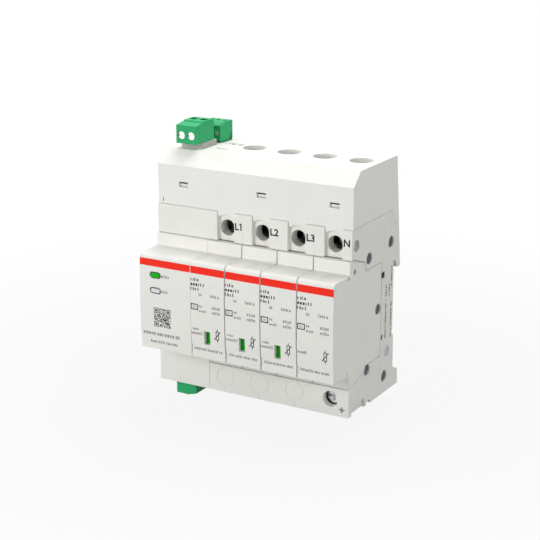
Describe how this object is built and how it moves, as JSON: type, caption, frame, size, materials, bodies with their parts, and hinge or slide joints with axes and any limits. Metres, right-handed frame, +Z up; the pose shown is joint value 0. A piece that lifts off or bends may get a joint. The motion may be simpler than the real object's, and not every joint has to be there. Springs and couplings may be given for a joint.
{
  "type": "surge protective device",
  "caption": "Rail-mounted surge protective device: a row of plug-in protection cartridges in a base beside a monitoring section with signal plugs",
  "frame": {"origin": "centre of the rail seat, in the plane of the rail's front face", "axes": "+X to the right along the rail, +Y into the rail, +Z up; the front faces -Y"},
  "size_m": [0.098, 0.0645, 0.1279],
  "materials": {
    "housing": "off-white moulded plastic, fine matt texture",
    "cartridge": "off-white moulded plastic with printed label face",
    "cover": "off-white moulded plastic",
    "rivet_steel": "blued rivet steel",
    "screw_steel": "zinc-plated steel",
    "clamp_steel": "zinc-plated folded steel",
    "copper": "copper alloy strip",
    "blade": "tin-plated copper blades, steel rivet",
    "board": "green board with fitted parts",
    "green_light": "lit green light guide",
    "clear_light": "clear light guide, unlit",
    "header": "grey moulded plastic",
    "plug": "green moulded plastic",
    "varistor": "blue epoxy coating",
    "gap": "pale ceramic with metal discs",
    "flag": "green and red status flag"
  },
  "bodies": {
    "base": {"monitor_base": "housing", "monitor_front": "housing", "pole_base_1": "housing", "pole_base_2": "housing", "pole_base_3": "housing", "pole_base_4": "housing", "bottom_cover": "cover", "top_cover": "cover", "rivets": "rivet_steel", "circuit_board": "board", "power_light": "green_light", "bus_light": "clear_light", "supply_header": "header", "relay_header": "header", "bus_header": "header", "line_contact_1": "copper", "line_contact_2": "copper", "line_contact_3": "copper", "line_contact_4": "copper", "earth_bar": "copper"},
    "cartridge_1": {"cartridge_left_1": "cartridge", "cartridge_right_1": "cartridge", "varistor_1": "varistor", "cartridge_contacts_1": "blade"},
    "cartridge_2": {"cartridge_left_2": "cartridge", "cartridge_right_2": "cartridge", "varistor_2": "varistor", "cartridge_contacts_2": "blade"},
    "cartridge_3": {"cartridge_left_3": "cartridge", "cartridge_right_3": "cartridge", "varistor_3": "varistor", "cartridge_contacts_3": "blade"},
    "cartridge_4": {"cartridge_left_4": "cartridge", "cartridge_right_4": "cartridge", "spark_gap": "gap", "cartridge_contacts_4": "blade"},
    "flag_1": {"flag_1": "flag"},
    "flag_2": {"flag_2": "flag"},
    "flag_3": {"flag_3": "flag"},
    "supply_plug": {"supply_plug": "plug"},
    "relay_plug": {"relay_plug": "plug"},
    "bus_plug": {"bus_plug": "plug", "bus_plug_screws": "screw_steel"},
    "supply_screw_1": {"supply_screw_1": "screw_steel"},
    "supply_screw_2": {"supply_screw_2": "screw_steel"},
    "relay_screw_1": {"relay_screw_1": "screw_steel"},
    "relay_screw_2": {"relay_screw_2": "screw_steel"},
    "relay_screw_3": {"relay_screw_3": "screw_steel"},
    "line_screw_1": {"line_screw_1": "screw_steel"},
    "line_clamp_1": {"line_clamp_1": "clamp_steel"},
    "line_screw_2": {"line_screw_2": "screw_steel"},
    "line_clamp_2": {"line_clamp_2": "clamp_steel"},
    "line_screw_3": {"line_screw_3": "screw_steel"},
    "line_clamp_3": {"line_clamp_3": "clamp_steel"},
    "line_screw_4": {"line_screw_4": "screw_steel"},
    "line_clamp_4": {"line_clamp_4": "clamp_steel"},
    "earth_screw": {"earth_screw": "screw_steel"},
    "earth_clamp": {"earth_clamp": "clamp_steel"},
    "rail_clip_left": {"rail_clip_left": "clamp_steel"},
    "rail_clip_right": {"rail_clip_right": "clamp_steel"}
  },
  "joints": [
    {"name": "cartridge_1_pull", "type": "slide", "parent": "base", "child": "cartridge_1", "axis": [0, -1, 0], "range_m": [0, 0.045]},
    {"name": "cartridge_2_pull", "type": "slide", "parent": "base", "child": "cartridge_2", "axis": [0, -1, 0], "range_m": [0, 0.045]},
    {"name": "cartridge_3_pull", "type": "slide", "parent": "base", "child": "cartridge_3", "axis": [0, -1, 0], "range_m": [0, 0.045]},
    {"name": "cartridge_4_pull", "type": "slide", "parent": "base", "child": "cartridge_4", "axis": [0, -1, 0], "range_m": [0, 0.045]},
    {"name": "flag_1_slide", "type": "slide", "parent": "cartridge_1", "child": "flag_1", "axis": [1, 0, 0], "range_m": [0, 0.0034]},
    {"name": "flag_2_slide", "type": "slide", "parent": "cartridge_2", "child": "flag_2", "axis": [1, 0, 0], "range_m": [0, 0.0034]},
    {"name": "flag_3_slide", "type": "slide", "parent": "cartridge_3", "child": "flag_3", "axis": [1, 0, 0], "range_m": [0, 0.0034]},
    {"name": "supply_plug_pull", "type": "slide", "parent": "base", "child": "supply_plug", "axis": [0, 0, 1], "range_m": [0, 0.012]},
    {"name": "relay_plug_pull", "type": "slide", "parent": "base", "child": "relay_plug", "axis": [0, 0, 1], "range_m": [0, 0.01]},
    {"name": "bus_plug_pull", "type": "slide", "parent": "base", "child": "bus_plug", "axis": [0, 0, -1], "range_m": [0, 0.01]},
    {"name": "supply_screw_1_turn", "type": "hinge", "parent": "supply_plug", "child": "supply_screw_1", "pos_m": [-0.04024, -0.031, 0.07155], "axis": [0, 1, 0], "range_deg": [0, 1800]},
    {"name": "supply_screw_2_turn", "type": "hinge", "parent": "supply_plug", "child": "supply_screw_2", "pos_m": [-0.03516, -0.031, 0.07155], "axis": [0, 1, 0], "range_deg": [0, 1800]},
    {"name": "relay_screw_1_turn", "type": "hinge", "parent": "relay_plug", "child": "relay_screw_1", "pos_m": [-0.0412, -0.011, 0.0696], "axis": [0, 1, 0], "range_deg": [0, 1800]},
    {"name": "relay_screw_2_turn", "type": "hinge", "parent": "relay_plug", "child": "relay_screw_2", "pos_m": [-0.0377, -0.011, 0.0696], "axis": [0, 1, 0], "range_deg": [0, 1800]},
    {"name": "relay_screw_3_turn", "type": "hinge", "parent": "relay_plug", "child": "relay_screw_3", "pos_m": [-0.0342, -0.011, 0.0696], "axis": [0, 1, 0], "range_deg": [0, 1800]},
    {"name": "line_screw_1_turn", "type": "hinge", "parent": "base", "child": "line_screw_1", "pos_m": [-0.01335, -0.027, 0.0338], "axis": [0, 1, 0], "range_deg": [0, 1980]},
    {"name": "line_clamp_1_rise", "type": "slide", "parent": "base", "child": "line_clamp_1", "axis": [0, -1, 0], "range_m": [0, 0.0044]},
    {"name": "line_screw_2_turn", "type": "hinge", "parent": "base", "child": "line_screw_2", "pos_m": [0.00445, -0.027, 0.0338], "axis": [0, 1, 0], "range_deg": [0, 1980]},
    {"name": "line_clamp_2_rise", "type": "slide", "parent": "base", "child": "line_clamp_2", "axis": [0, -1, 0], "range_m": [0, 0.0044]},
    {"name": "line_screw_3_turn", "type": "hinge", "parent": "base", "child": "line_screw_3", "pos_m": [0.02225, -0.027, 0.0338], "axis": [0, 1, 0], "range_deg": [0, 1980]},
    {"name": "line_clamp_3_rise", "type": "slide", "parent": "base", "child": "line_clamp_3", "axis": [0, -1, 0], "range_m": [0, 0.0044]},
    {"name": "line_screw_4_turn", "type": "hinge", "parent": "base", "child": "line_screw_4", "pos_m": [0.04005, -0.027, 0.0338], "axis": [0, 1, 0], "range_deg": [0, 1980]},
    {"name": "line_clamp_4_rise", "type": "slide", "parent": "base", "child": "line_clamp_4", "axis": [0, -1, 0], "range_m": [0, 0.0044]},
    {"name": "earth_screw_turn", "type": "hinge", "parent": "base", "child": "earth_screw", "pos_m": [0.04005, -0.035, -0.0355], "axis": [0, 1, 0], "range_deg": [0, 1800]},
    {"name": "earth_clamp_rise", "type": "slide", "parent": "base", "child": "earth_clamp", "axis": [0, -1, 0], "range_m": [0, 0.004]},
    {"name": "rail_clip_left_pull", "type": "slide", "parent": "base", "child": "rail_clip_left", "axis": [0, 0, -1], "range_m": [0, 0.003], "stiffness_N_per_m": 3000, "springref_m": -0.001},
    {"name": "rail_clip_right_pull", "type": "slide", "parent": "base", "child": "rail_clip_right", "axis": [0, 0, -1], "range_m": [0, 0.003], "stiffness_N_per_m": 3000, "springref_m": -0.001}
  ],
  "couplings": [
    {"joint": "line_screw_1_turn", "follows": "line_clamp_1_rise", "rad_per_m": 7854},
    {"joint": "line_screw_2_turn", "follows": "line_clamp_2_rise", "rad_per_m": 7854},
    {"joint": "line_screw_3_turn", "follows": "line_clamp_3_rise", "rad_per_m": 7854},
    {"joint": "line_screw_4_turn", "follows": "line_clamp_4_rise", "rad_per_m": 7854},
    {"joint": "earth_screw_turn", "follows": "earth_clamp_rise", "rad_per_m": 7854}
  ]
}
